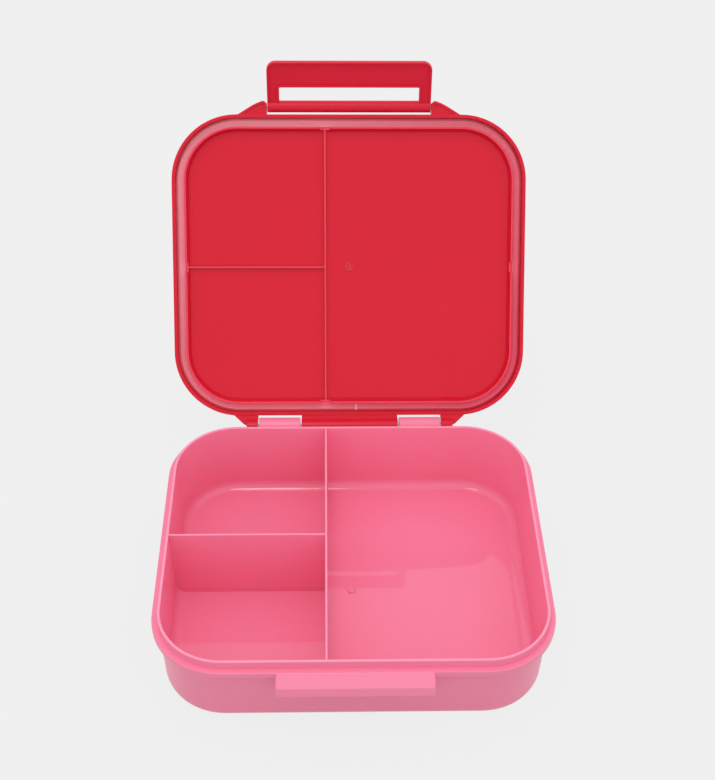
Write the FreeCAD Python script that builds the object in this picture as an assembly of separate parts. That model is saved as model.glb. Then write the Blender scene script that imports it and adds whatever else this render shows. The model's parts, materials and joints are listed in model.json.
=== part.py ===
"""Lunch box: a tray with moulded-in dividers, a hinged lid with a sealing ring, and a front clip.

Millimetres, +Z up, +X to the right, -Y to the front. The origin is the centre of the tray's underside.
The lid and its clip are drawn shut, and are then swung to the open pose in which the box is stored.
"""
import FreeCAD, Part
import math
import os

# Tray: the rim line runs along the middle of the lip
tray_height = 46.5
rim_half_width = 96.0
rim_half_depth = 81.2
rim_corner = 32.6
wall = 1.5
wall_draft = 1.3
floor_thickness = 1.6
floor_round = 5.4

# Flange round the outside of the tray, under the lip
flange_drop = 4.8
flange_reach = 3.05
flange_height = 3.5
flange_wall = 1.5

# Dividers, moulded with the tray: thin at the top, thicker at the floor
long_divider_x = -13.7
cross_divider_y = 0.2
divider_top = 1.1
divider_foot = 1.7
divider_drop = 0.4

# Keeper: the hollow ledge on the tray's front that the clip snaps over
keeper_half_width = 38.0
keeper_reach = 7.05
keeper_height = 9.0
nose_reach = 6.0
nose_drop = 4.1
nose_round = 1.0
keeper_wall = 1.7
keeper_side_round = 1.1

# Rear hinge
knuckle_radius = 4.2
knuckle_gap = 2.0
hinge_below_flange = 0.2
tray_knuckle_x = 40.15
tray_knuckle_width = 23.6
tray_knuckle_radius = 5.1
knuckle_side_gap = 0.7
end_knuckle_width = 6.35
leaf_flare = 7.5
leaf_root_height = 2.7
leaf_wall = 2.2
open_angle = 123.6
stop_half_width = 20.0
stop_wall = 2.2
stop_overlap = 1.2
stop_gap = 0.2
hinge_pin_radius = 1.25
hinge_pin_inset = 0.6
hinge_pin_grip = 11.0

# Lid
groove_width = 4.8
skirt_wall = 1.8
skirt_gap = 0.5
lid_panel = 1.8
lid_edge_round = 3.0
inner_rim_wall = 1.1
inner_rim_depth = 2.0
inner_rim_flare = 1.4
rib_wall = 1.0
divider_clearance = 0.5
notch_width = 5.7

# Sealing ring in the lid's groove
seal_thickness = 2.2
seal_lip_gap = 0.3
seal_bevel = 0.7

# Front clip and the two ears that carry it
clip_length = 27.0
clip_wall = 1.8
clip_corner = 5.0
clip_bar_radius = 3.3
clip_arm_width = 6.75
window_side_gap = 1.1
window_corner = 0.8
latch_gap = 0.4
border_width = 1.2
border_height = 1.2
clip_angle = 60.0
pivot_reach = 4.55
pivot_above_skirt = 2.3
ear_gap = 0.35
ear_reach = 7.65
ear_width = 16.4
ear_above_pivot = 4.5
ear_tip_width = 1.9
ear_tip_drop = 1.5
ear_tip_round = 1.4
ear_shoulder_run = 6.5
ear_shoulder_reach = 6.1
ear_shoulder_round = 28.0
ear_border = 1.3
ear_pocket = 0.9
clip_pin_radius = 1.0
clip_pin_grip = 12.0
ear_pin_grip = 5.5

# Running clearance of a pin in the piece that turns on it, how far hidden roots run into their walls,
# how far a cut runs past what it cuts, and how closely an edge is recognised by its place
running_gap = 0.05
seam_margin = 3.0
cut_margin = 2.0
place_match = 0.01

# Levels and lines that several pieces share
flange_top = tray_height - flange_drop
flange_bottom = flange_top - flange_height
flange_edge = wall / 2 + flange_reach
hinge_y = rim_half_depth + flange_edge + knuckle_gap + knuckle_radius
hinge_z = flange_bottom - hinge_below_flange
knuckle_gap_half = tray_knuckle_width / 2 + knuckle_side_gap
leaf_tip_half_width = tray_knuckle_x + knuckle_gap_half + end_knuckle_width
leaf_root_half_width = leaf_tip_half_width + leaf_flare
divider_level = tray_height - divider_drop
lid_edge = groove_width / 2 + skirt_wall
inner_rim_face = -groove_width / 2 - inner_rim_wall
inner_rim_root = inner_rim_face - inner_rim_flare
skirt_bottom = flange_top + skirt_gap
seal_face = tray_height + seal_lip_gap
panel_level = seal_face + seal_thickness
lid_top = panel_level + lid_panel
rib_bottom = divider_level + divider_clearance
front_edge = -(rim_half_depth + lid_edge)
pivot_y = front_edge - pivot_reach
pivot_z = skirt_bottom + pivot_above_skirt
keeper_bottom = flange_top - keeper_height
window_half_width = keeper_half_width + window_side_gap
window_end = pivot_z - keeper_bottom + latch_gap
clip_half_width = window_half_width + clip_arm_width
ear_face = clip_half_width + ear_gap
clip_pin_end = ear_face + ear_pin_grip

ORIGIN = FreeCAD.Vector(0, 0, 0)
X_AXIS = FreeCAD.Vector(1, 0, 0)
Z_AXIS = FreeCAD.Vector(0, 0, 1)


def outline(corners, place):
    """Closed wire through (u, v, radius) corners, where place turns u, v into a point.

    A radius rounds its corner. A negative one cuts the corner flat, that far along both sides.
    """
    runs = []
    for index, (u, v, radius) in enumerate(corners):
        here = FreeCAD.Vector(u, v, 0)
        before = FreeCAD.Vector(*corners[index - 1][:2], 0)
        after = FreeCAD.Vector(*corners[(index + 1) % len(corners)][:2], 0)
        to_before = (before - here).normalize()
        to_after = (after - here).normalize()
        if radius == 0:
            runs.append([here])
            continue
        if radius < 0:
            runs.append([here - to_before * radius, here - to_after * radius])
            continue
        half_angle = to_before.getAngle(to_after) / 2
        tangent = radius / math.tan(half_angle)
        inward = (to_before + to_after).normalize()
        crown = here + inward * (radius / math.sin(half_angle) - radius)
        runs.append([here + to_before * tangent, crown, here + to_after * tangent])
    placed = [[place(point.x, point.y) for point in run] for run in runs]
    edges = []
    for index, run in enumerate(placed):
        if len(run) == 3:
            edges.append(Part.Arc(*run).toShape())
        if len(run) == 2:
            edges.append(Part.LineSegment(*run).toShape())
        start, end = run[-1], placed[(index + 1) % len(placed)][0]
        edges.append(Part.LineSegment(start, end).toShape())
    return Part.Wire(edges)


def prism(corners, place, direction):
    """Solid from a rounded outline, pushed along a direction."""
    return Part.Face(outline(corners, place)).extrude(direction)


def along_x(corners, x_start, x_end):
    """Solid with the (y, z, radius) outline between two X positions."""
    return prism(corners, lambda y, z: FreeCAD.Vector(x_start, y, z), X_AXIS * (x_end - x_start))


def along_y(corners, y_start, y_end):
    """Solid with the (x, z, radius) outline between two Y positions."""
    return prism(corners, lambda x, z: FreeCAD.Vector(x, y_start, z), FreeCAD.Vector(0, y_end - y_start, 0))


def along_z(corners, z_start, z_end):
    """Solid with the (x, y, radius) outline between two heights."""
    return prism(corners, lambda x, y: FreeCAD.Vector(x, y, z_start), Z_AXIS * (z_end - z_start))


def block(x_span, y_span, z_span):
    """Plain block between low and high positions on each axis."""
    low = FreeCAD.Vector(x_span[0], y_span[0], z_span[0])
    return Part.makeBox(x_span[1] - x_span[0], y_span[1] - y_span[0], z_span[1] - z_span[0], low)


def rod(radius, x_start, x_end, y, z):
    """Round bar along X."""
    return Part.makeCylinder(radius, abs(x_end - x_start), FreeCAD.Vector(min(x_start, x_end), y, z), X_AXIS)


def joined(first, *others):
    """One clean solid from pieces that touch or overlap."""
    return first.fuse(list(others)).removeSplitter().Solids[0]


def ring(corners):
    """Cross-section carried round the rim line. Its corners are (outward from the line, height, radius)."""
    straight_x = rim_half_width - rim_corner
    straight_y = rim_half_depth - rim_corner
    section = Part.Face(outline(corners, lambda out, z: FreeCAD.Vector(rim_corner + out, 0, z)))
    corner = section.revolve(ORIGIN, Z_AXIS, 90)
    pieces = []
    for turn, (x_side, y_side) in enumerate(((1, 1), (-1, 1), (-1, -1), (1, -1))):
        centre = FreeCAD.Vector(x_side * straight_x, y_side * straight_y, 0)
        bend = corner.copy()
        bend.rotate(ORIGIN, Z_AXIS, 90 * turn)
        bend.translate(centre)
        heading = 90 * (turn + 1)
        run = 2 * (straight_x if turn % 2 == 0 else straight_y)
        side = section.copy()
        side.rotate(ORIGIN, Z_AXIS, heading)
        side.translate(centre)
        forward = FreeCAD.Vector(-math.sin(math.radians(heading)), math.cos(math.radians(heading)), 0)
        pieces += [bend, side.extrude(forward * run)]
    return joined(*pieces)


def rim_plate(offset, z_start, z_end):
    """Flat plate with the rim's outline moved outward by an offset."""
    x, y, radius = rim_half_width + offset, rim_half_depth + offset, rim_corner + offset
    corners = [(-x, -y, radius), (x, -y, radius), (x, y, radius), (-x, y, radius)]
    return along_z(corners, z_start, z_end)


def inner_face(z):
    """Where the tray wall's inner face is, outward from the rim line, at a height."""
    return -wall / 2 - wall_draft * (tray_height - z) / tray_height


def outer_face(z):
    return inner_face(z) + wall


def wall_middle(z):
    return inner_face(z) + wall / 2


def tray_shell():
    """Wall, lip and flange as one ring, closed by the floor."""
    seam = inner_face(0) - floor_round - seam_margin
    web_bottom = flange_top - flange_wall
    section = [
        (seam, 0, 0),
        (outer_face(0), 0, floor_round + wall),
        (outer_face(web_bottom), web_bottom, 0),
        (flange_edge - flange_wall, web_bottom, 0),
        (flange_edge - flange_wall, flange_bottom, 0),
        (flange_edge, flange_bottom, 0),
        (flange_edge, flange_top, 0),
        (wall / 2, flange_top, 0),
        (wall / 2, tray_height, 0),
        (-wall / 2, tray_height, 0),
        (inner_face(floor_thickness), floor_thickness, floor_round),
        (seam, floor_thickness, 0),
    ]
    return joined(ring(section), rim_plate(seam, 0, floor_thickness))


def divider_wedge(middle):
    """Corners of a divider's cross-section: thin at the top, thick at the floor."""
    foot = floor_thickness / 2
    return [
        (middle - divider_foot / 2, foot, 0),
        (middle + divider_foot / 2, foot, 0),
        (middle + divider_top / 2, divider_level, 0),
        (middle - divider_top / 2, divider_level, 0),
    ]


def long_divider():
    """Divider from the front wall to the back wall, rooted in the middle of the walls and floor."""
    foot = floor_thickness / 2
    low = rim_half_depth + wall_middle(foot)
    high = rim_half_depth + wall_middle(divider_level)
    root_round = floor_round + wall / 2
    face = [
        (-low, foot, root_round),
        (low, foot, root_round),
        (high, divider_level, 0),
        (-high, divider_level, 0),
    ]
    sheet = along_x(face, long_divider_x - divider_foot, long_divider_x + divider_foot)
    return sheet.common(along_y(divider_wedge(long_divider_x), -high, high))


def cross_divider():
    """Divider from the left wall to the long divider."""
    foot = floor_thickness / 2
    low = -(rim_half_width + wall_middle(foot))
    high = -(rim_half_width + wall_middle(divider_level))
    root_round = floor_round + wall / 2
    face = [
        (low, foot, root_round),
        (long_divider_x, foot, 0),
        (long_divider_x, divider_level, 0),
        (high, divider_level, 0),
    ]
    sheet = along_y(face, cross_divider_y - divider_foot, cross_divider_y + divider_foot)
    return sheet.common(along_x(divider_wedge(cross_divider_y), high, long_divider_x))


def keeper():
    """Ledge with a ramp, a nose and a leaning front, hollow from below like a moulded hook."""
    edge = -(rim_half_depth + flange_edge)
    nose_z = flange_top - nose_drop
    profile = [
        (-(rim_half_depth + wall_middle(keeper_bottom)), keeper_bottom, 0),
        (edge - keeper_reach, keeper_bottom, 0),
        (edge - nose_reach, nose_z, nose_round),
        (edge, flange_top, 0),
        (-(rim_half_depth + wall_middle(flange_top)), flange_top, 0),
    ]
    hook = along_x(profile, -keeper_half_width, keeper_half_width)
    sides = []
    for line in hook.Edges:
        box = line.BoundBox
        on_end = box.XLength < place_match and box.YMax < edge + place_match
        if on_end and box.ZLength > place_match:
            sides.append(line)
    hook = hook.makeFillet(keeper_side_round, sides)
    pocket_floor = keeper_bottom - cut_margin
    pocket = [
        (-(rim_half_depth + outer_face(pocket_floor)), pocket_floor, 0),
        (edge - keeper_reach + keeper_wall, pocket_floor, 0),
        (edge - nose_reach + keeper_wall, nose_z - keeper_wall / 2, 0),
        (edge, flange_bottom, 0),
        (-(rim_half_depth + outer_face(flange_bottom)), flange_bottom, 0),
    ]
    inside = keeper_half_width - keeper_wall
    return hook.cut(along_x(pocket, -inside, inside))


def tray_knuckle(side):
    """Arm from the flange to a barrel on the hinge axis."""
    low = side * tray_knuckle_x - tray_knuckle_width / 2
    high = low + tray_knuckle_width
    root = rim_half_depth + flange_edge - flange_wall
    arm = block((low, high), (root, hinge_y), (flange_bottom, flange_top))
    return joined(arm, rod(tray_knuckle_radius, low, high, hinge_y, hinge_z))


def base_tray():
    knuckles = [tray_knuckle(side) for side in (-1, 1)]
    tray = joined(tray_shell(), long_divider(), cross_divider(), keeper(), *knuckles)
    return tray.cut(rod(hinge_pin_radius, -leaf_tip_half_width, leaf_tip_half_width, hinge_y, hinge_z))


def hinge_pin_ends():
    """Where a hinge pin starts and ends, out from the middle of the box."""
    inner = tray_knuckle_x - tray_knuckle_width / 2 - hinge_pin_grip
    outer = leaf_tip_half_width - hinge_pin_inset
    return inner, outer


def hinge_pin(side):
    """Steel pin pressed into the tray's knuckle, with the lid's knuckles turning on its ends."""
    inner, outer = hinge_pin_ends()
    return rod(hinge_pin_radius, side * inner, side * outer, hinge_y, hinge_z)


def lid_pan():
    """Panel, skirt, seal groove and inner rim of the lid. Two flats take off its outer top edge."""
    seam = inner_rim_root - seam_margin
    rim_bottom = tray_height - inner_rim_depth
    edge_crown = lid_edge_round * (1 - math.cos(math.pi / 4))
    section = [
        (seam, lid_top, 0),
        (lid_edge - lid_edge_round, lid_top, 0),
        (lid_edge - edge_crown, lid_top - edge_crown, 0),
        (lid_edge, lid_top - lid_edge_round, 0),
        (lid_edge, skirt_bottom, 0),
        (groove_width / 2, skirt_bottom, 0),
        (groove_width / 2, panel_level, 0),
        (-groove_width / 2, panel_level, 0),
        (-groove_width / 2, rim_bottom, 0),
        (inner_rim_face, rim_bottom, 0),
        (inner_rim_root, panel_level, 0),
        (seam, panel_level, 0),
    ]
    return joined(ring(section), rim_plate(seam, panel_level, lid_top))


def lid_ribs():
    """Two ribs that stand over the tray's dividers."""
    root = inner_rim_wall / 2
    reach_y = rim_half_depth + inner_rim_face + root
    reach_x = rim_half_width + inner_rim_face + root
    height = (rib_bottom, panel_level + lid_panel / 2)
    long_span = (long_divider_x - rib_wall / 2, long_divider_x + rib_wall / 2)
    cross_span = (cross_divider_y - rib_wall / 2, cross_divider_y + rib_wall / 2)
    return [
        block(long_span, (-reach_y, reach_y), height),
        block((-reach_x, long_divider_x), cross_span, height),
    ]


def rim_notches():
    """Gaps in the lid's inner rim over the four ends of the two divider lines."""
    height = (tray_height - inner_rim_depth - cut_margin, rib_bottom)
    near = inner_rim_root
    far = -groove_width / 2 + inner_rim_wall
    long_span = (long_divider_x - notch_width / 2, long_divider_x + notch_width / 2)
    cross_span = (cross_divider_y - notch_width / 2, cross_divider_y + notch_width / 2)
    y_span = (rim_half_depth + near, rim_half_depth + far)
    x_span = (rim_half_width + near, rim_half_width + far)
    notches = []
    for side in (-1, 1):
        notches.append(block(long_span, sorted(side * y for y in y_span), height))
        notches.append(block(sorted(side * x for x in x_span), cross_span, height))
    return notches


def lid_ear(side):
    """Gusset beside the clip, with a smooth shoulder down to the lid's edge and a shallow pocket below."""
    root = front_edge + skirt_wall / 2
    tip = front_edge - ear_reach
    corners = [
        (ear_face, root, 0),
        (ear_face, tip + ear_tip_drop, 0),
        (ear_face + ear_tip_width, tip, ear_tip_round),
        (ear_face + ear_shoulder_run, front_edge - ear_shoulder_reach, ear_shoulder_round),
        (ear_face + ear_width, front_edge, 0),
        (ear_face + ear_width, root, 0),
    ]
    edge = outline(corners, lambda x, y: FreeCAD.Vector(side * x, y, skirt_bottom))
    underside = Part.Face(edge)
    pocket = underside.makeOffset2D(-ear_border).extrude(Z_AXIS * ear_pocket)
    return underside.extrude(Z_AXIS * (pivot_z + ear_above_pivot - skirt_bottom)).cut(pocket)


def hinge_leaf():
    """Slanted leaf from the lid's back edge down to its knuckles, with gaps for the tray's knuckles."""
    root = FreeCAD.Vector(0, rim_half_depth + lid_edge - skirt_wall / 2, skirt_bottom + leaf_root_height)
    axis = FreeCAD.Vector(0, hinge_y, hinge_z)
    slope = (axis - root).normalize()
    lift = FreeCAD.Vector(0, -slope.z, slope.y) * (leaf_wall / 2)
    corners = [root + lift, root - lift, axis - lift, axis + lift]
    web = along_x([(point.y, point.z, 0) for point in corners], -leaf_root_half_width, leaf_root_half_width)
    barrel = rod(knuckle_radius, -leaf_tip_half_width, leaf_tip_half_width, hinge_y, hinge_z)
    back_edge = rim_half_depth + lid_edge
    plan = [(leaf_root_half_width, rim_half_depth, 0), (leaf_root_half_width, back_edge, 0)]
    plan += [(leaf_tip_half_width, hinge_y, 0), (leaf_tip_half_width, hinge_y + 2 * knuckle_radius, 0)]
    plan += [(-x, y, radius) for x, y, radius in reversed(plan)]
    trim = along_z(plan, hinge_z - 2 * knuckle_radius, lid_top)
    leaf = joined(web, barrel).common(trim)
    for side in (-1, 1):
        middle = side * tray_knuckle_x
        depth = (back_edge, hinge_y + 2 * knuckle_radius)
        height = (hinge_z - 2 * knuckle_radius, lid_top)
        leaf = leaf.cut(block((middle - knuckle_gap_half, middle + knuckle_gap_half), depth, height))
    return leaf


def lid_stop():
    """Tail on the middle knuckle, drawn in the open pose: it lands under the flange and stops the lid."""
    tip = rim_half_depth + flange_edge - stop_overlap
    top = flange_bottom - stop_gap
    return block((-stop_half_width, stop_half_width), (tip, hinge_y), (top - stop_wall, top))


def opened(shape):
    """Swing a shape that belongs to the lid from shut to open."""
    swung = shape.copy()
    swung.rotate(FreeCAD.Vector(0, hinge_y, hinge_z), X_AXIS, -open_angle)
    return swung


def lid_shell():
    lid = lid_pan().cut(rim_notches())
    leaf = hinge_leaf()
    ears = [lid_ear(side) for side in (-1, 1)]
    lid = lid.fuse(lid_ribs() + ears + leaf.Solids)
    for side in (-1, 1):
        lid = lid.cut(rod(clip_pin_radius, side * clip_half_width, side * clip_pin_end, pivot_y, pivot_z))
    lid = joined(opened(lid), lid_stop())
    inner, outer = hinge_pin_ends()
    bore = hinge_pin_radius + running_gap
    for side in (-1, 1):
        lid = lid.cut(rod(bore, side * (inner - running_gap), side * (outer + cut_margin), hinge_y, hinge_z))
    return lid


def lid_seal():
    """Silicone ring that fills the groove, with its edges taken off on the open side."""
    half = groove_width / 2
    section = [
        (half, seal_face, -seal_bevel),
        (half, panel_level, 0),
        (-half, panel_level, 0),
        (-half, seal_face, -seal_bevel),
    ]
    return opened(ring(section))


def clip_border(inner, corner, far, near):
    """Corners of an upright outline on the clip, by half-width, corner radius and ends below the pivot."""
    low, high = pivot_z - far, pivot_z - near
    return [(-inner, high, 0), (inner, high, 0), (inner, low, corner), (-inner, low, corner)]


def front_clip():
    """Plate with a window, raised borders on its inner side and a round bar on the pivot."""
    inner_side = pivot_y + clip_wall / 2
    outer_side = pivot_y - clip_wall / 2
    crest = inner_side + border_height
    plate = along_y(clip_border(clip_half_width, clip_corner, clip_length, 0), outer_side, crest)
    slimmer = clip_half_width - border_width
    inset_corner = clip_corner - border_width
    field = clip_border(slimmer, inset_corner, clip_length - border_width, 0)
    around_window = window_half_width + border_width
    border = clip_border(around_window, border_width, window_end + border_width, 0)
    hollow = along_y(field, inner_side, crest + cut_margin)
    hollow = hollow.cut(along_y(border, inner_side - cut_margin, crest + 2 * cut_margin))
    window = clip_border(window_half_width, window_corner, window_end, 0)
    window = along_y(window, outer_side - cut_margin, crest + cut_margin)
    bar = rod(clip_bar_radius, -clip_half_width, clip_half_width, pivot_y, pivot_z)
    clip = joined(plate.cut([hollow, window]), bar)
    for side in (-1, 1):
        bore = rod(clip_pin_radius + running_gap, side * (clip_half_width - clip_pin_grip - running_gap),
                   side * (clip_half_width + cut_margin), pivot_y, pivot_z)
        clip = clip.cut(bore)
    clip.rotate(FreeCAD.Vector(0, pivot_y, pivot_z), X_AXIS, -clip_angle)
    return opened(clip)


def clip_pin(side):
    """Steel pin pressed into an ear, with the clip turning on its inner end."""
    inner = clip_half_width - clip_pin_grip
    return opened(rod(clip_pin_radius, side * inner, side * clip_pin_end, pivot_y, pivot_z))


nodes = {
    "base_tray": base_tray(),
    "lid_shell": lid_shell(),
    "lid_seal": lid_seal(),
    "front_clip": front_clip(),
    "hinge_pin_left": hinge_pin(-1),
    "hinge_pin_right": hinge_pin(1),
    "clip_pin_left": clip_pin(-1),
    "clip_pin_right": clip_pin(1),
}

os.makedirs("parts", exist_ok=True)
for name, shape in nodes.items():
    box = shape.BoundBox
    print(name, len(shape.Solids), "solid, valid", shape.isValid(), "volume %.1f mm3" % shape.Volume,
          "from (%.1f, %.1f, %.1f)" % (box.XMin, box.YMin, box.ZMin),
          "to (%.1f, %.1f, %.1f)" % (box.XMax, box.YMax, box.ZMax))
    shape.exportStep("parts/%s.step" % name)
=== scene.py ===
"""Lunch box with a divided tray, a hinged lid, a sealing ring and a front clip: edges, finishes and stage."""
import json
import math

import bmesh
import bpy
from mathutils import Matrix, Vector


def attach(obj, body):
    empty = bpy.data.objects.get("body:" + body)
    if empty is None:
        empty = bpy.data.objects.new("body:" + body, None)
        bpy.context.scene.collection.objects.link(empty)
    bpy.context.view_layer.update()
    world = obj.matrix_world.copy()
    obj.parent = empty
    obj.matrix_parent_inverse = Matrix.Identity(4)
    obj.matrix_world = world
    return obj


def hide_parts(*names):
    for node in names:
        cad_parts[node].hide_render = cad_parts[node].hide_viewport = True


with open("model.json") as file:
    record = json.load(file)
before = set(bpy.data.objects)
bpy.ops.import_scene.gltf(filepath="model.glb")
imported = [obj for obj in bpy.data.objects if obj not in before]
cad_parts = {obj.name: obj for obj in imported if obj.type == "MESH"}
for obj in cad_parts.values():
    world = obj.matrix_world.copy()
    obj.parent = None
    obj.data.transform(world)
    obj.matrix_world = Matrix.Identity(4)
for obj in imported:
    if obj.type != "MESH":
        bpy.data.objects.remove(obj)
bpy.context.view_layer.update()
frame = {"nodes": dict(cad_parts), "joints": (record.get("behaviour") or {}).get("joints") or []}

bl_info = {
    "name": "Lunch box",
    "version": (1, 0, 0),
    "blender": (4, 5, 0),
    "location": "View3D > Sidebar > Lunch box",
    "description": "Finishes a moulded lunch box and sets it on a pale studio floor",
    "category": "Object",
}

JOINTS = {joint["name"]: joint for joint in frame["joints"]}
MM = 0.001
UP = Vector((0, 0, 1))
DOWN = Vector((0, 0, -1))

# Meshes
MERGE_MM = 0.01             # corners of the CAD triangles that are nearer than this are one corner
FLAT_DEGREES = 0.6          # triangles that meet flatter than this are one face
EDGE_DEGREES = 40           # outside edges that turn more than this are rounded
EDGE_SEGMENTS = 3
FACING_COSINE = 0.99        # a face looks along a direction if its normal agrees with it this well
CHAMFER_REACH = 1.1         # corners of the ring deeper than this many chamfers are below its chamfers
CHANNEL_STEPS = ((0.35, 0.5), (0.4, 0.33), (0.4, 0.17))  # in and down, in depths of the ring's channel
GATE_CORNERS = 32
GATE_STEPS = ((0.14, 0), (0.12, -0.9), (0.12, 0.6))  # in, in widths of a gate mark, and up, in its heights
GATE_EDGE = 0.25            # rounded edges of a gate mark, in its heights
BEAD_EDGE = 0.3             # rounded edges of the ring's joint bead, in its widths

# Moulded polypropylene
PLASTIC_IOR = 1.49
PLASTIC_GLOW_MM = 3         # how far light runs inside the plastic
PLASTIC_GLOW_SPREAD = (1.0, 0.25, 0.35)  # and its red, green and blue as shares of that
FLOW_MM = 45                # clouds that the flowing plastic leaves
FLOW_DARKEST = 0.95         # colour of the darkest of them, as a share of the plastic's own
FLOW_ROUGHNESS = 0.03       # how far they make the roughness drift, up and down
GRAIN_MM = 0.7              # spark-eroded grain, drawn coarser than the real one so that it shows
GRAIN_DEPTH_MM = 0.05
GRAIN_STRENGTH = 0.4
HIGHLIGHT_SHARE = 0.9             # how far the tops of ribs, rims and dividers are painted paler: a painted highlight
HIGHLIGHT_START_COSINE = 0.6      # the painted highlight starts on faces that are turned this far towards the top
HIGHLIGHT_FULL_COSINE = 0.9       # and is full from here
POLISH_ROUGHNESS = 0.02
POLISH_FADE = 1.8           # the polish has gone at this many times the height where it starts to go
WAVE_MM = 60                # shrink waves in a flat sheet
WAVE_DEPTH_MM = 0.06
BOW_START_MM = -40          # the polished floor falls to the back from here
BOW_RUN_MM = 100
BOW_DROP_MM = 2.7           # as a change of slope alone: how far it would fall in that run

# Cast silicone
SILICONE_IOR = 1.41
SILICONE_GLOW_MM = 0.5      # how far light runs inside the silicone
SILICONE_GLOW_SPREAD = (1.0, 0.5, 0.5)
CLOUD_MM = 60               # random clouds of tone in the silicone
CLOUD_SHARE = 0.5           # how much those clouds add to the painted drift from shade to highlight along the ring
SHADE_PLACE_MM = (57.5, 0, 47.3)  # the painted shade is deepest here on the open lid, and the ring turns to painted highlight across it
SHADE_TO_HIGHLIGHT_MM = 178           # over this distance
SHADE_TO_HIGHLIGHT_TURN = math.radians(-130.4)  # and in the direction of the X axis after this turn about Y

# Drawn steel
LINE_MM = 0.15              # lines that the die leaves, drawn coarser than the real ones so that they show
LINE_STRETCH = 50           # how many times longer than wide those lines are
LINE_ROUGHNESS = (0.25, 0.45)

# Sockets of a Mix node, which has several of the same name
COLOUR_A, COLOUR_B, COLOUR_RESULT = 6, 7, 2
VECTOR_A, VECTOR_B, VECTOR_RESULT = 4, 5, 1

# Stage
WHITE = (1.0, 1.0, 1.0, 1.0)
FLOOR_M = 12
SENSOR_MM = 36
VIEW_REACH_M = 50


def srgb(text):
    """Linear red, green, blue and alpha of an sRGB hex colour."""
    channels = [int(text.lstrip("#")[i:i + 2], 16) / 255 for i in (0, 2, 4)]
    linear = [c / 12.92 if c <= 0.04045 else ((c + 0.055) / 1.055) ** 2.4 for c in channels]
    return (*linear, 1.0)


class LunchBoxColours(bpy.types.PropertyGroup):
    """Colours of the mouldings, the ring and the floor, as sRGB hex values."""

    tray_pink: bpy.props.StringProperty(
        name="Tray", description="Pink of the tray's polypropylene", default="#FF8BAD")
    # Painted highlight: the paler pink stands in for light on the tray's lip and divider tops.
    highlight_pink: bpy.props.StringProperty(
        name="Tray, rubbed", description="Paler pink where the tray's lip and dividers rub",
        default="#FF9BB9")
    lid_red: bpy.props.StringProperty(
        name="Lid", description="Red of the lid's polypropylene", default="#E01836")
    # Painted highlight: the paler red stands in for light on the lid's ribs and rim.
    highlight_red: bpy.props.StringProperty(
        name="Lid, rubbed", description="Paler red where the lid's ribs and rim rub", default="#F44C64")
    clip_red: bpy.props.StringProperty(
        name="Clip", description="Red of the clip's polypropylene", default="#DF1939")
    # Painted highlight and painted shade: the milky colour stands for the ring's lit parts and the thin, red
    # colour for its shaded parts.
    ring_milk_highlight: bpy.props.StringProperty(
        name="Ring, thick", description="Milky pink of the silicone where it is thick", default="#FFAAB8")
    ring_thin_shade: bpy.props.StringProperty(
        name="Ring, thin", description="Silicone with the red lid showing through it", default="#F06A82")
    joint_pale: bpy.props.StringProperty(
        name="Ring joint", description="Pale bead of silicone glue that joins the ring's ends",
        default="#FFC0CA")
    pin_grey: bpy.props.StringProperty(
        name="Pins", description="Grey of the steel wire", default="#C9C8C5")
    floor_grey: bpy.props.StringProperty(
        name="Floor", description="Pale grey of the studio floor", default="#F0F0F0")


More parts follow.
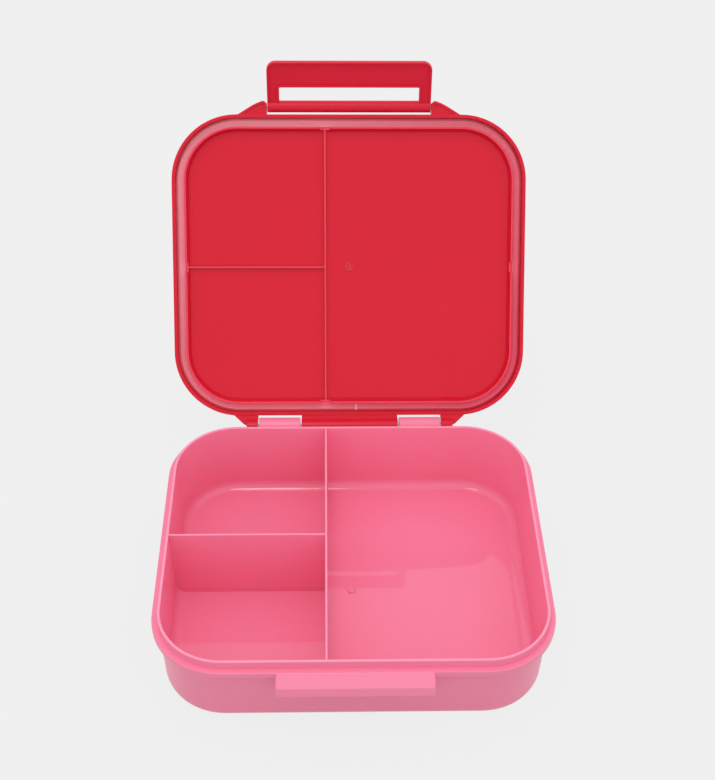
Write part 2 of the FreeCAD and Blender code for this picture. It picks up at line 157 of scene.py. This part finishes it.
class LunchBoxSizes(bpy.types.PropertyGroup):
    """Rounded edges, the ring's channel and joint, the tops with a painted highlight and gate marks, and
    where they are.
    """

    tray_edge: bpy.props.FloatProperty(
        name="Tray edges", description="Width of the tray's rounded edges", default=0.35 * MM, unit="LENGTH")
    lid_edge: bpy.props.FloatProperty(
        name="Lid edges", description="Width of the lid's rounded edges", default=0.2 * MM, unit="LENGTH")
    clip_edge: bpy.props.FloatProperty(
        name="Clip edges", description="Width of the clip's rounded edges", default=0.35 * MM, unit="LENGTH")
    ring_edge: bpy.props.FloatProperty(
        name="Ring edges", description="Width of the ring's rounded edges", default=0.2 * MM, unit="LENGTH")
    ring_chamfer: bpy.props.FloatProperty(
        name="Ring chamfer", description="Chamfer of the solid ring, filled out on its inner side",
        default=0.7 * MM, unit="LENGTH")
    ring_slope_reach: bpy.props.FloatProperty(
        name="Ring slope reach",
        description="How much further in than the chamfer the ring's outer slope starts",
        default=0.7 * MM, unit="LENGTH")
    ring_slope_drop: bpy.props.FloatProperty(
        name="Ring slope drop", description="How much deeper than the chamfer the ring's outer slope ends",
        default=0.7 * MM, unit="LENGTH")
    ring_channel: bpy.props.FloatProperty(
        name="Ring channel", description="Depth of the rounded channel along the ring's face",
        default=0.6 * MM, unit="LENGTH")
    ring_joint: bpy.props.FloatProperty(
        name="Ring joint", description="How far right of the middle the ring's ends are joined, at the hinge",
        default=3.9 * MM, unit="LENGTH")
    joint_width: bpy.props.FloatProperty(
        name="Joint width", description="Width of the bead of glue at that joint",
        default=0.9 * MM, unit="LENGTH")
    joint_length: bpy.props.FloatProperty(
        name="Joint length", description="Length of that bead, across the ring",
        default=4 * MM, unit="LENGTH")
    joint_height: bpy.props.FloatProperty(
        name="Joint height", description="Height of that bead",
        default=1.1 * MM, unit="LENGTH")
    ring_level: bpy.props.FloatProperty(
        name="Ring face", description="Height of the ring's face on the shut lid",
        default=46.8 * MM, unit="LENGTH")
    ring_back: bpy.props.FloatProperty(
        name="Ring at the hinge",
        description="How far behind the middle the ring's centre line runs at the hinge",
        default=81.2 * MM, unit="LENGTH")
    leaf_top: bpy.props.FloatProperty(
        name="Hinge leaf", description="Height below which the open lid is hinge leaf, too fine to round",
        default=42.5 * MM, unit="LENGTH")
    pin_hole: bpy.props.FloatProperty(
        name="Pin holes", description="Reach of the clip's pin holes, whose edges stay sharp",
        default=1.6 * MM, unit="LENGTH")
    panel_level: bpy.props.FloatProperty(
        name="Lid panel", description="Height of the underside of the shut lid's panel",
        default=49.0 * MM, unit="LENGTH")
    # Painted highlight: the lid's ribs and rim between these two heights are painted paler.
    highlight_start: bpy.props.FloatProperty(
        name="Rub start",
        description="Ribs and rim that stand out more than this from the lid's panel are rubbed",
        default=1.6 * MM, unit="LENGTH")
    highlight_end: bpy.props.FloatProperty(
        name="Rub end", description="Edges that stand out more than this are outside and not rubbed",
        default=5 * MM, unit="LENGTH")
    # Painted highlight: the tray's tops above this height are painted paler.
    lip_root: bpy.props.FloatProperty(
        name="Lip root", description="Tops of the tray that stand higher than this are rubbed",
        default=44 * MM, unit="LENGTH")
    floor_level: bpy.props.FloatProperty(
        name="Tray floor", description="Height of the top of the tray's floor",
        default=1.6 * MM, unit="LENGTH")
    polish_top: bpy.props.FloatProperty(
        name="Tray polish", description="Height up to which the tray is polished inside",
        default=3 * MM, unit="LENGTH")
    tray_gate: bpy.props.FloatProperty(
        name="Tray gate", description="Width of the mark where the tray's plastic was fed in",
        default=5 * MM, unit="LENGTH")
    lid_gate: bpy.props.FloatProperty(
        name="Lid gate", description="Width of the mark where the lid's plastic was fed in",
        default=5 * MM, unit="LENGTH")
    gate_height: bpy.props.FloatProperty(
        name="Gate height", description="Height of those marks' rims", default=0.55 * MM, unit="LENGTH")


class LunchBoxView(bpy.types.PropertyGroup):
    """Camera that looks at the open box from the front, above."""

    place: bpy.props.FloatVectorProperty(
        name="Place", description="Where the camera stands", size=3, subtype="TRANSLATION",
        default=(-13.25 * MM, -463.94 * MM, 550.44 * MM))
    pitch: bpy.props.FloatProperty(
        name="Pitch", description="How far the camera looks down", subtype="ANGLE",
        default=math.radians(41.1156))
    yaw: bpy.props.FloatProperty(
        name="Yaw", description="How far the camera is turned to the side", subtype="ANGLE",
        default=math.radians(-1.7967))
    roll: bpy.props.FloatProperty(
        name="Roll", description="How far the picture leans", subtype="ANGLE", default=math.radians(0.9762))
    lens: bpy.props.FloatProperty(
        name="Lens", description="Focal length in millimetres, for the sensor along the picture's long side",
        default=60.504)


class LunchBoxLight(bpy.types.PropertyGroup):
    """Soft lamp over the box, light from all round, and how the floor looks in it."""

    lamp_place: bpy.props.FloatVectorProperty(
        name="Lamp", description="Where the soft lamp hangs", size=3, subtype="TRANSLATION",
        default=(-100 * MM, -100 * MM, 1100 * MM))
    lamp_aim: bpy.props.FloatVectorProperty(
        name="Lamp aim", description="Point that the lamp is aimed at", size=3, subtype="TRANSLATION",
        default=(0, 50 * MM, 60 * MM))
    lamp_size: bpy.props.FloatProperty(
        name="Lamp size", description="Side of the square lamp", default=200 * MM, unit="LENGTH")
    lamp_power: bpy.props.FloatProperty(
        name="Lamp power", description="Power of the lamp", default=1.3, unit="POWER")
    sky: bpy.props.FloatProperty(
        name="Sky", description="Strength of the even light from all round", default=0.95)
    paper: bpy.props.FloatProperty(
        name="Paper", description="How much light the floor's paper throws back", default=0.5,
        subtype="FACTOR")
    floor_strength: bpy.props.FloatProperty(
        name="Floor strength", description="Strength of the floor's grey as the camera sees it",
        default=1.045)
    floor_share: bpy.props.FloatProperty(
        name="Floor share", description="Share of that grey in the floor. The rest is paper with its shadows",
        default=0.9, subtype="FACTOR")


def add_node(tree, kind, sockets=None, **settings):
    """Add a node with its settings, and fill its sockets with values or links."""
    made = tree.nodes.new(kind)
    for name, value in settings.items():
        setattr(made, name, value)
    for name, value in (sockets or {}).items():
        if isinstance(value, bpy.types.NodeSocket):
            tree.links.new(value, made.inputs[name])
        else:
            made.inputs[name].default_value = value
    return made


def new_material(name):
    """Material with an empty node tree."""
    material = bpy.data.materials.new(name)
    material.use_nodes = True
    material.node_tree.nodes.clear()
    return material


def finish_material(material, shader):
    """Send a shader to the material's surface."""
    add_node(material.node_tree, "ShaderNodeOutputMaterial", {"Surface": shader})
    return material


def per_metre(size_mm):
    """Noise scale whose grains are about this size across."""
    return 1 / (size_mm * MM)


def painted_highlight_tint(tree, coordinates, tint, highlit):
    """Painted highlight: a tint that turns to a paler colour on tops, given as (paler, facing, near, far).

    Those tops look along facing, and stand out along it from near to far.
    """
    paler, facing, near, far = highlit
    stands = add_node(tree, "ShaderNodeVectorMath", {0: coordinates["Object"], 1: facing},
                      operation="DOT_PRODUCT").outputs["Value"]
    looks = add_node(tree, "ShaderNodeVectorMath", {0: coordinates["Normal"], 1: facing},
                     operation="DOT_PRODUCT").outputs["Value"]
    past = add_node(tree, "ShaderNodeMath", {0: stands, 1: near}, operation="GREATER_THAN").outputs[0]
    within = add_node(tree, "ShaderNodeMath", {0: stands, 1: far}, operation="LESS_THAN").outputs[0]
    out = add_node(tree, "ShaderNodeMath", {0: past, 1: within}, operation="MULTIPLY").outputs[0]
    on_top = add_node(tree, "ShaderNodeMapRange", {
        "Value": looks, "From Min": HIGHLIGHT_START_COSINE, "From Max": HIGHLIGHT_FULL_COSINE,
        "To Max": HIGHLIGHT_SHARE}).outputs["Result"]
    share = add_node(tree, "ShaderNodeMath", {0: out, 1: on_top}, operation="MULTIPLY").outputs[0]
    return add_node(tree, "ShaderNodeMix", {"Factor": share, COLOUR_A: tint, COLOUR_B: srgb(paler)},
                    data_type="RGBA").outputs[COLOUR_RESULT]


def polished_roughness(tree, place, top, roughness, grain):
    """Roughness of a moulding whose mould was polished up to the height top, so that its floor mirrors.

    The grain, a Bump node, is left out there. The floor is bowed a little, as a sheet that has shrunk,
    and has faint waves.
    """
    height = add_node(tree, "ShaderNodeSeparateXYZ", {"Vector": place}).outputs["Z"]
    rise = add_node(tree, "ShaderNodeMapRange", {
        "Value": height, "From Min": top, "From Max": top * POLISH_FADE},
        interpolation_type="SMOOTHSTEP").outputs["Result"]
    strength = add_node(tree, "ShaderNodeMath", {0: rise, 1: GRAIN_STRENGTH}, operation="MULTIPLY")
    tree.links.new(strength.outputs[0], grain.inputs["Strength"])
    waves = add_node(tree, "ShaderNodeTexNoise", {
        "Vector": place, "Scale": per_metre(WAVE_MM), "Detail": 0.0})
    wavy = add_node(tree, "ShaderNodeBump", {
        "Height": waves.outputs["Fac"], "Strength": 1.0, "Distance": WAVE_DEPTH_MM * MM})
    along = add_node(tree, "ShaderNodeMapping", {
        "Vector": place, "Location": (0, BOW_START_MM * MM, 0), "Rotation": (0, 0, math.pi / 2),
        "Scale": [BOW_RUN_MM * MM] * 3}, vector_type="TEXTURE")
    fall = add_node(tree, "ShaderNodeTexGradient", {"Vector": along.outputs["Vector"]},
                    gradient_type="QUADRATIC")
    bowed = add_node(tree, "ShaderNodeBump", {
        "Height": fall.outputs["Fac"], "Strength": 1.0, "Distance": BOW_DROP_MM * MM,
        "Normal": wavy.outputs["Normal"]}, invert=True)
    plain = add_node(tree, "ShaderNodeNewGeometry")
    level = add_node(tree, "ShaderNodeMix", {
        "Factor": rise, VECTOR_A: bowed.outputs["Normal"], VECTOR_B: plain.outputs["Normal"]},
        data_type="VECTOR")
    tree.links.new(level.outputs[VECTOR_RESULT], grain.inputs["Normal"])
    return add_node(tree, "ShaderNodeMapRange", {
        "Value": rise, "To Min": POLISH_ROUGHNESS, "To Max": roughness}).outputs["Result"]


def moulded_polypropylene(name, colour, roughness, shine, glow, polish_top=None, highlit=None):
    """Injection-moulded polypropylene: waxy satin with a fine spark-eroded grain, and a glow inside it.

    It is polished up to the height polish_top, and painted paler on the tops that its tuple of paler colour,
    facing and heights describes: a painted highlight.
    """
    material = new_material(name)
    tree = material.node_tree
    coordinates = add_node(tree, "ShaderNodeTexCoord").outputs
    place = coordinates["Object"]
    flow = add_node(tree, "ShaderNodeTexNoise", {
        "Vector": place, "Scale": per_metre(FLOW_MM), "Detail": 2.0}).outputs["Fac"]
    darkest = [channel * FLOW_DARKEST for channel in srgb(colour)[:3]]
    tint = add_node(tree, "ShaderNodeMix", {
        "Factor": flow, COLOUR_A: (*darkest, 1.0), COLOUR_B: srgb(colour)},
        data_type="RGBA").outputs[COLOUR_RESULT]
    # painted highlight on the tops
    if highlit:
        tint = painted_highlight_tint(tree, coordinates, tint, highlit)
    speckle = add_node(tree, "ShaderNodeTexNoise", {
        "Vector": place, "Scale": per_metre(GRAIN_MM), "Detail": 1.0})
    grain = add_node(tree, "ShaderNodeBump", {
        "Height": speckle.outputs["Fac"], "Strength": GRAIN_STRENGTH, "Distance": GRAIN_DEPTH_MM * MM})
    if polish_top:
        satin = polished_roughness(tree, place, polish_top, roughness, grain)
    else:
        satin = add_node(tree, "ShaderNodeMapRange", {
            "Value": flow, "To Min": roughness - FLOW_ROUGHNESS,
            "To Max": roughness + FLOW_ROUGHNESS}).outputs["Result"]
    shader = add_node(tree, "ShaderNodeBsdfPrincipled", {
        "Base Color": tint, "Roughness": satin, "IOR": PLASTIC_IOR, "Specular IOR Level": shine,
        "Normal": grain.outputs["Normal"], "Subsurface Weight": glow,
        "Subsurface Scale": PLASTIC_GLOW_MM * MM, "Subsurface Radius": PLASTIC_GLOW_SPREAD})
    return finish_material(material, shader.outputs["BSDF"])


def milky_silicone(name, thick, thin):
    """Cast silicone: soft, half clear, smooth with a dull shine. Its colour drifts from the colour thin to
    the colour thick across the ring, with clouds of random tone: the drift is painted shade turning to
    painted highlight.
    """
    material = new_material(name)
    tree = material.node_tree
    place = add_node(tree, "ShaderNodeTexCoord").outputs["Object"]
    along = add_node(tree, "ShaderNodeMapping", {
        "Vector": place, "Location": [c * MM for c in SHADE_PLACE_MM], "Rotation": (0, SHADE_TO_HIGHLIGHT_TURN, 0),
        "Scale": [SHADE_TO_HIGHLIGHT_MM * MM] * 3}, vector_type="TEXTURE")
    drift = add_node(tree, "ShaderNodeTexGradient", {"Vector": along.outputs["Vector"]})
    cloud = add_node(tree, "ShaderNodeTexNoise", {
        "Vector": place, "Scale": per_metre(CLOUD_MM), "Detail": 1.0})
    clouded = add_node(tree, "ShaderNodeMath", {
        0: cloud.outputs["Fac"], 1: CLOUD_SHARE, 2: drift.outputs["Fac"]}, operation="MULTIPLY_ADD")
    share = add_node(tree, "ShaderNodeMapRange", {
        "Value": clouded.outputs[0], "From Min": CLOUD_SHARE / 2, "From Max": 1 + CLOUD_SHARE / 2})
    tint = add_node(tree, "ShaderNodeMix", {
        "Factor": share.outputs["Result"], COLOUR_A: srgb(thin), COLOUR_B: srgb(thick)}, data_type="RGBA")
    shader = add_node(tree, "ShaderNodeBsdfPrincipled", {
        "Base Color": tint.outputs[COLOUR_RESULT], "Roughness": 0.35, "IOR": SILICONE_IOR,
        "Specular IOR Level": 0.15, "Subsurface Weight": 0.1, "Subsurface Scale": SILICONE_GLOW_MM * MM,
        "Subsurface Radius": SILICONE_GLOW_SPREAD})
    return finish_material(material, shader.outputs["BSDF"])


def drawn_steel(name, colour):
    """Drawn stainless steel wire: bright metal with fine lines along its length."""
    material = new_material(name)
    tree = material.node_tree
    place = add_node(tree, "ShaderNodeTexCoord").outputs["Object"]
    along = add_node(tree, "ShaderNodeMapping", {"Vector": place, "Scale": (1 / LINE_STRETCH, 1.0, 1.0)})
    lines = add_node(tree, "ShaderNodeTexNoise", {
        "Vector": along.outputs["Vector"], "Scale": per_metre(LINE_MM)})
    smoothest, roughest = LINE_ROUGHNESS
    roughness = add_node(tree, "ShaderNodeMapRange", {
        "Value": lines.outputs["Fac"], "To Min": smoothest, "To Max": roughest})
    shader = add_node(tree, "ShaderNodeBsdfPrincipled", {
        "Base Color": srgb(colour), "Metallic": 1.0, "Roughness": roughness.outputs["Result"]})
    return finish_material(material, shader.outputs["BSDF"])


def dress(piece, material):
    """Give a piece or a CAD node one material in all its slots."""
    piece.data.materials.clear()
    piece.data.materials.append(material)


def swung_open():
    """Matrix that takes the shut lid to the pose in which the box is stored."""
    hinge = JOINTS["lid_hinge"]
    pivot = Vector(hinge["pos_m"])
    turn = Matrix.Rotation(math.radians(-hinge["range_deg"][0]), 4, Vector(hinge["axis"]))
    return Matrix.Translation(pivot) @ turn @ Matrix.Translation(-pivot)


def select_only(piece):
    """Make a piece the one selected and active object."""
    bpy.ops.object.select_all(action="DESELECT")
    piece.select_set(True)
    bpy.context.view_layer.objects.active = piece


def edit_faces(piece, wanted):
    """Open a piece in edit mode with those faces selected for which wanted(normal) is true."""
    select_only(piece)
    bpy.context.tool_settings.mesh_select_mode = (False, False, True)
    bpy.ops.object.mode_set(mode="EDIT")
    bpy.ops.mesh.select_all(action="DESELECT")
    bpy.ops.object.mode_set(mode="OBJECT")
    for face in piece.data.polygons:
        face.select = wanted(face.normal)
    bpy.ops.object.mode_set(mode="EDIT")


def merged_copy(node, name):
    """Copy of a CAD node's mesh with its loose triangles joined into whole faces."""
    piece = bpy.data.objects.new(name, frame["nodes"][node].data.copy())
    bpy.context.scene.collection.objects.link(piece)
    select_only(piece)
    bpy.ops.mesh.customdata_custom_splitnormals_clear()
    bpy.ops.object.mode_set(mode="EDIT")
    bpy.ops.mesh.select_all(action="SELECT")
    bpy.ops.mesh.remove_doubles(threshold=MERGE_MM * MM)
    bpy.ops.mesh.dissolve_limited(angle_limit=math.radians(FLAT_DEGREES))
    bpy.ops.object.mode_set(mode="OBJECT")
    return piece


def soften(piece, width, spared=lambda middle: False):
    """Round a piece's outside edges as a mould does, and shade it so that its flat faces stay flat.

    Edges for whose middle spared(middle) is true stay sharp.
    """
    select_only(piece)
    bpy.context.tool_settings.mesh_select_mode = (False, True, False)
    bpy.ops.object.mode_set(mode="EDIT")
    bpy.ops.mesh.select_all(action="DESELECT")
    mesh = bmesh.from_edit_mesh(piece.data)
    for edge in mesh.edges:
        middle = (edge.verts[0].co + edge.verts[1].co) / 2
        turned = edge.calc_face_angle_signed() > math.radians(EDGE_DEGREES)
        edge.select = turned and not spared(middle)
    bmesh.update_edit_mesh(piece.data)
    bpy.ops.mesh.bevel(offset=width, segments=EDGE_SEGMENTS, affect="EDGES", clamp_overlap=False)
    bpy.ops.object.mode_set(mode="OBJECT")
    bpy.ops.object.shade_smooth_by_angle(angle=math.radians(EDGE_DEGREES))
    shading = piece.modifiers.new("flat_faces", "WEIGHTED_NORMAL")
    shading.mode = "FACE_AREA_WITH_ANGLE"
    shading.keep_sharp = True
    bpy.ops.object.modifier_apply(modifier=shading.name)


def stand_for(piece, node, body):
    """Let a finished piece ride on a body in place of its CAD node."""
    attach(piece, body)
    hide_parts(node)


def gate_mark(name, width, height, place):
    """Round crater with a pip in its middle, where the plastic was cut off at the mould's gate."""
    bpy.ops.object.select_all(action="DESELECT")
    bpy.ops.mesh.primitive_cylinder_add(vertices=GATE_CORNERS, radius=width / 2, depth=2 * height)
    mark = bpy.context.object
    mark.name = name
    edit_faces(mark, lambda normal: normal.z > FACING_COSINE)
    for step_in, step_up in GATE_STEPS:
        bpy.ops.mesh.inset(thickness=step_in * width)
        bpy.ops.transform.translate(value=(0, 0, step_up * height))
    bpy.ops.object.mode_set(mode="OBJECT")
    soften(mark, GATE_EDGE * height)
    mark.data.transform(place)
    return mark


def joint_bead(sizes, opened):
    """Rounded bead of glue across the ring's channel, where the ring's ends are joined."""
    bpy.ops.object.select_all(action="DESELECT")
    bpy.ops.mesh.primitive_cube_add(size=1)
    bead = bpy.context.object
    bead.name = "ring_joint_bead"
    size = (sizes.joint_width, sizes.joint_length, sizes.joint_height)
    bead.data.transform(Matrix.Diagonal((*size, 1)))
    soften(bead, BEAD_EDGE * sizes.joint_width)
    middle = (sizes.ring_joint, sizes.ring_back, sizes.ring_level + sizes.joint_height / 2)
    bead.data.transform(opened @ Matrix.Translation(middle))
    return bead


def slope_ring(ring, facing, sizes):
    """Fill out the ring's inner chamfer to its face, and make its outer one a wider and deeper slope."""
    corners = ring.data.vertices
    face_level = max(facing.dot(corner.co) for corner in corners)
    middle = sum((corner.co for corner in corners), Vector()) / len(corners)
    normals = [corner.normal.copy() for corner in corners]
    for corner, normal in zip(corners, normals):
        sunk = face_level - facing.dot(corner.co)
        sideways = normal - normal.project(facing)
        if sunk > CHAMFER_REACH * sizes.ring_chamfer:
            continue
        if sideways.dot(corner.co - middle) < 0:
            corner.co += sunk * facing
        elif sunk > sizes.ring_chamfer / 2:
            corner.co -= sizes.ring_slope_drop * facing
        else:
            corner.co -= sizes.ring_slope_reach * sideways.normalized()


def seen_rays(tree):
    """Factor that is one for what the camera sees, straight or through a mirror or glass."""
    path = add_node(tree, "ShaderNodeLightPath")
    first = add_node(tree, "ShaderNodeMath", {
        0: path.outputs["Is Camera Ray"], 1: path.outputs["Is Glossy Ray"]}, operation="MAXIMUM")
    seen = add_node(tree, "ShaderNodeMath", {
        0: first.outputs[0], 1: path.outputs["Is Transmission Ray"]}, operation="MAXIMUM")
    return seen.outputs[0]


def pale_world(scene, grey, light):
    """Even white light from all round, which the camera sees as the floor's grey."""
    world = bpy.data.worlds.new("studio_white")
    scene.world = world
    world.use_nodes = True
    tree = world.node_tree
    tree.nodes.clear()
    shown = add_node(tree, "ShaderNodeBackground", {"Color": grey, "Strength": 1.0})
    lit = add_node(tree, "ShaderNodeBackground", {"Color": WHITE, "Strength": light.sky})
    mix = add_node(tree, "ShaderNodeMixShader", {
        0: seen_rays(tree), 1: lit.outputs[0], 2: shown.outputs[0]})
    add_node(tree, "ShaderNodeOutputWorld", {"Surface": mix.outputs[0]})


def pale_floor(grey, light):
    """Floor that looks pale grey to the camera and keeps part of the box's shadow."""
    bpy.ops.object.select_all(action="DESELECT")
    bpy.ops.mesh.primitive_plane_add(size=FLOOR_M, location=(0, 0, 0))
    floor = bpy.context.object
    floor.name = "studio_floor"
    material = new_material("floor_matte_paper")
    tree = material.node_tree
    paper = add_node(tree, "ShaderNodeBsdfDiffuse", {"Color": (*[light.paper] * 3, 1.0)})
    shown = add_node(tree, "ShaderNodeEmission", {"Color": grey, "Strength": light.floor_strength})
    share = add_node(tree, "ShaderNodeMath", {0: seen_rays(tree), 1: light.floor_share},
                     operation="MULTIPLY")
    mix = add_node(tree, "ShaderNodeMixShader", {
        0: share.outputs[0], 1: paper.outputs[0], 2: shown.outputs[0]})
    floor.data.materials.append(finish_material(material, mix.outputs[0]))


def softbox(name, light):
    """Square soft lamp aimed at a point."""
    lamp = bpy.data.lights.new(name, "AREA")
    lamp.size = light.lamp_size
    lamp.energy = light.lamp_power
    holder = bpy.data.objects.new(name, lamp)
    bpy.context.scene.collection.objects.link(holder)
    holder.location = light.lamp_place
    holder.rotation_euler = (light.lamp_aim - light.lamp_place).to_track_quat("-Z", "Y").to_euler()


def set_camera(scene):
    """Camera at the view's place, looking down and towards the back."""
    view = scene.lunch_box_view
    camera = bpy.data.cameras.new("view")
    camera.sensor_width = SENSOR_MM
    camera.lens = view.lens
    camera.clip_end = VIEW_REACH_M
    holder = bpy.data.objects.new("view", camera)
    scene.collection.objects.link(holder)
    look_down = Matrix.Rotation(math.pi / 2 - view.pitch, 4, "X")
    turn = Matrix.Rotation(view.yaw, 4, "Z")
    lean = Matrix.Rotation(view.roll, 4, "Z")
    holder.matrix_world = Matrix.Translation(view.place) @ turn @ look_down @ lean
    scene.camera = holder


class LUNCHBOX_OT_tray(bpy.types.Operator):
    """Round the divided tray's edges and finish it in pink polypropylene with a polished floor"""

    bl_idname = "lunchbox.tray"
    bl_label = "Tray"

    def execute(self, context):
        colours = context.scene.lunch_box_colours
        sizes = context.scene.lunch_box_sizes
        # The paler pink on the lip and divider tops is a painted highlight.
        plastic = moulded_polypropylene(
            "tray_moulded_polypropylene", colours.tray_pink, roughness=0.34, shine=0.5, glow=0.1,
            polish_top=sizes.polish_top, highlit=(colours.highlight_pink, UP, sizes.lip_root, sizes.panel_level))
        tray = merged_copy("base_tray", "tray_moulding")
        soften(tray, sizes.tray_edge)
        stand_for(tray, "base_tray", "tray")
        mark = gate_mark("tray_gate_mark", sizes.tray_gate, sizes.gate_height,
                         Matrix.Translation((0, 0, sizes.floor_level)))
        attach(mark, "tray")
        for piece in (tray, mark):
            dress(piece, plastic)
        return {"FINISHED"}


class LUNCHBOX_OT_lid(bpy.types.Operator):
    """Round the lid's edges and finish it in red polypropylene"""

    bl_idname = "lunchbox.lid"
    bl_label = "Lid"

    def execute(self, context):
        colours = context.scene.lunch_box_colours
        sizes = context.scene.lunch_box_sizes
        opened = swung_open()
        facing = opened.to_3x3() @ DOWN
        near, far = (facing.dot(opened @ Vector((0, 0, sizes.panel_level - depth)))
                     for depth in (sizes.highlight_start, sizes.highlight_end))
        # The paler red on the ribs and rim is a painted highlight.
        plastic = moulded_polypropylene(
            "lid_moulded_polypropylene", colours.lid_red, roughness=0.3, shine=0.28, glow=0.3,
            highlit=(colours.highlight_red, facing, near, far))
        lid = merged_copy("lid_shell", "lid_moulding")
        clip_axis = Vector(JOINTS["clip_hinge"]["pos_m"])
        soften(lid, sizes.lid_edge, lambda middle: middle.z < sizes.leaf_top
               or (middle.yz - clip_axis.yz).length < sizes.pin_hole)
        stand_for(lid, "lid_shell", "lid")
        under_panel = Matrix.Translation((0, 0, sizes.panel_level)) @ Matrix.Rotation(math.pi, 4, "X")
        mark = gate_mark("lid_gate_mark", sizes.lid_gate, sizes.gate_height, opened @ under_panel)
        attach(mark, "lid")
        dress(lid, plastic)
        dress(mark, moulded_polypropylene(
            "gate_smooth_polypropylene", colours.lid_red, roughness=0.14, shine=0.6, glow=0.3))
        return {"FINISHED"}


class LUNCHBOX_OT_clip(bpy.types.Operator):
    """Round the front clip's edges and finish it in red polypropylene"""

    bl_idname = "lunchbox.clip"
    bl_label = "Clip"

    def execute(self, context):
        colours = context.scene.lunch_box_colours
        clip = merged_copy("front_clip", "clip_moulding")
        soften(clip, context.scene.lunch_box_sizes.clip_edge)
        stand_for(clip, "front_clip", "clip")
        dress(clip, moulded_polypropylene(
            "clip_moulded_polypropylene", colours.clip_red, roughness=0.38, shine=0.28, glow=0.3))
        return {"FINISHED"}


class LUNCHBOX_OT_ring(bpy.types.Operator):
    """Slope the sealing ring, sink a rounded channel along it, join its ends and finish it in silicone"""

    bl_idname = "lunchbox.ring"
    bl_label = "Sealing ring"

    def execute(self, context):
        colours = context.scene.lunch_box_colours
        sizes = context.scene.lunch_box_sizes
        opened = swung_open()
        facing = opened.to_3x3() @ DOWN
        ring = merged_copy("lid_seal", "sealing_ring")
        edit_faces(ring, lambda normal: normal.dot(facing) > FACING_COSINE)
        bpy.ops.object.mode_set(mode="OBJECT")
        slope_ring(ring, facing, sizes)
        bpy.ops.object.mode_set(mode="EDIT")
        for step_in, step_down in CHANNEL_STEPS:
            bpy.ops.mesh.inset(thickness=step_in * sizes.ring_channel, depth=-step_down * sizes.ring_channel)
        bpy.ops.object.mode_set(mode="OBJECT")
        soften(ring, sizes.ring_edge)
        stand_for(ring, "lid_seal", "lid")
        # The ring's milky and red colours, spread by the drift, are painted highlight and painted shade.
        dress(ring, milky_silicone("ring_milky_silicone", colours.ring_milk_highlight, colours.ring_thin_shade))
        bead = joint_bead(sizes, opened)
        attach(bead, "lid")
        dress(bead, milky_silicone("joint_pale_silicone", colours.joint_pale, colours.joint_pale))
        return {"FINISHED"}


class LUNCHBOX_OT_pins(bpy.types.Operator):
    """Finish the hinge and clip pins in drawn steel"""

    bl_idname = "lunchbox.pins"
    bl_label = "Pins"

    def execute(self, context):
        steel = drawn_steel("pin_drawn_steel", context.scene.lunch_box_colours.pin_grey)
        for name, node in frame["nodes"].items():
            if "_pin_" in name:
                dress(node, steel)
        return {"FINISHED"}


class LUNCHBOX_OT_stage(bpy.types.Operator):
    """Set the box on a pale floor with soft light and the camera"""

    bl_idname = "lunchbox.stage"
    bl_label = "Stage"

    def execute(self, context):
        grey = srgb(context.scene.lunch_box_colours.floor_grey)
        light = context.scene.lunch_box_light
        pale_world(context.scene, grey, light)
        pale_floor(grey, light)
        softbox("overhead", light)
        set_camera(context.scene)
        return {"FINISHED"}


class LUNCHBOX_PT_panel(bpy.types.Panel):
    """Lists the settings and steps that finish the lunch box"""

    bl_idname = "LUNCHBOX_PT_panel"
    bl_label = "Lunch box"
    bl_space_type = "VIEW_3D"
    bl_region_type = "UI"
    bl_category = "Lunch box"

    def draw(self, context):
        for group in PROPERTY_GROUPS:
            values = getattr(context.scene, group)
            for name in values.bl_rna.properties.keys():
                if name not in ("rna_type", "name"):
                    self.layout.prop(values, name)
        for operator in OPERATORS:
            self.layout.operator(operator.bl_idname)


PROPERTY_GROUPS = {
    "lunch_box_colours": LunchBoxColours,
    "lunch_box_sizes": LunchBoxSizes,
    "lunch_box_view": LunchBoxView,
    "lunch_box_light": LunchBoxLight,
}
OPERATORS = (LUNCHBOX_OT_tray, LUNCHBOX_OT_lid, LUNCHBOX_OT_ring, LUNCHBOX_OT_clip, LUNCHBOX_OT_pins,
             LUNCHBOX_OT_stage)


def register():
    """Make the settings, the steps and the panel known to Blender."""
    for name, group in PROPERTY_GROUPS.items():
        bpy.utils.register_class(group)
        setattr(bpy.types.Scene, name, bpy.props.PointerProperty(type=group))
    for operator in OPERATORS:
        bpy.utils.register_class(operator)
    bpy.utils.register_class(LUNCHBOX_PT_panel)


def unregister():
    """Take them out of Blender again."""
    bpy.utils.unregister_class(LUNCHBOX_PT_panel)
    for operator in reversed(OPERATORS):
        bpy.utils.unregister_class(operator)
    for name, group in PROPERTY_GROUPS.items():
        delattr(bpy.types.Scene, name)
        bpy.utils.unregister_class(group)


def main():
    """Make the settings known, then run every step in order."""
    register()
    bpy.context.scene.view_settings.view_transform = "Standard"
    bpy.ops.lunchbox.tray()
    bpy.ops.lunchbox.lid()
    bpy.ops.lunchbox.ring()
    bpy.ops.lunchbox.clip()
    bpy.ops.lunchbox.pins()
    bpy.ops.lunchbox.stage()


if __name__ == "__main__":
    main()
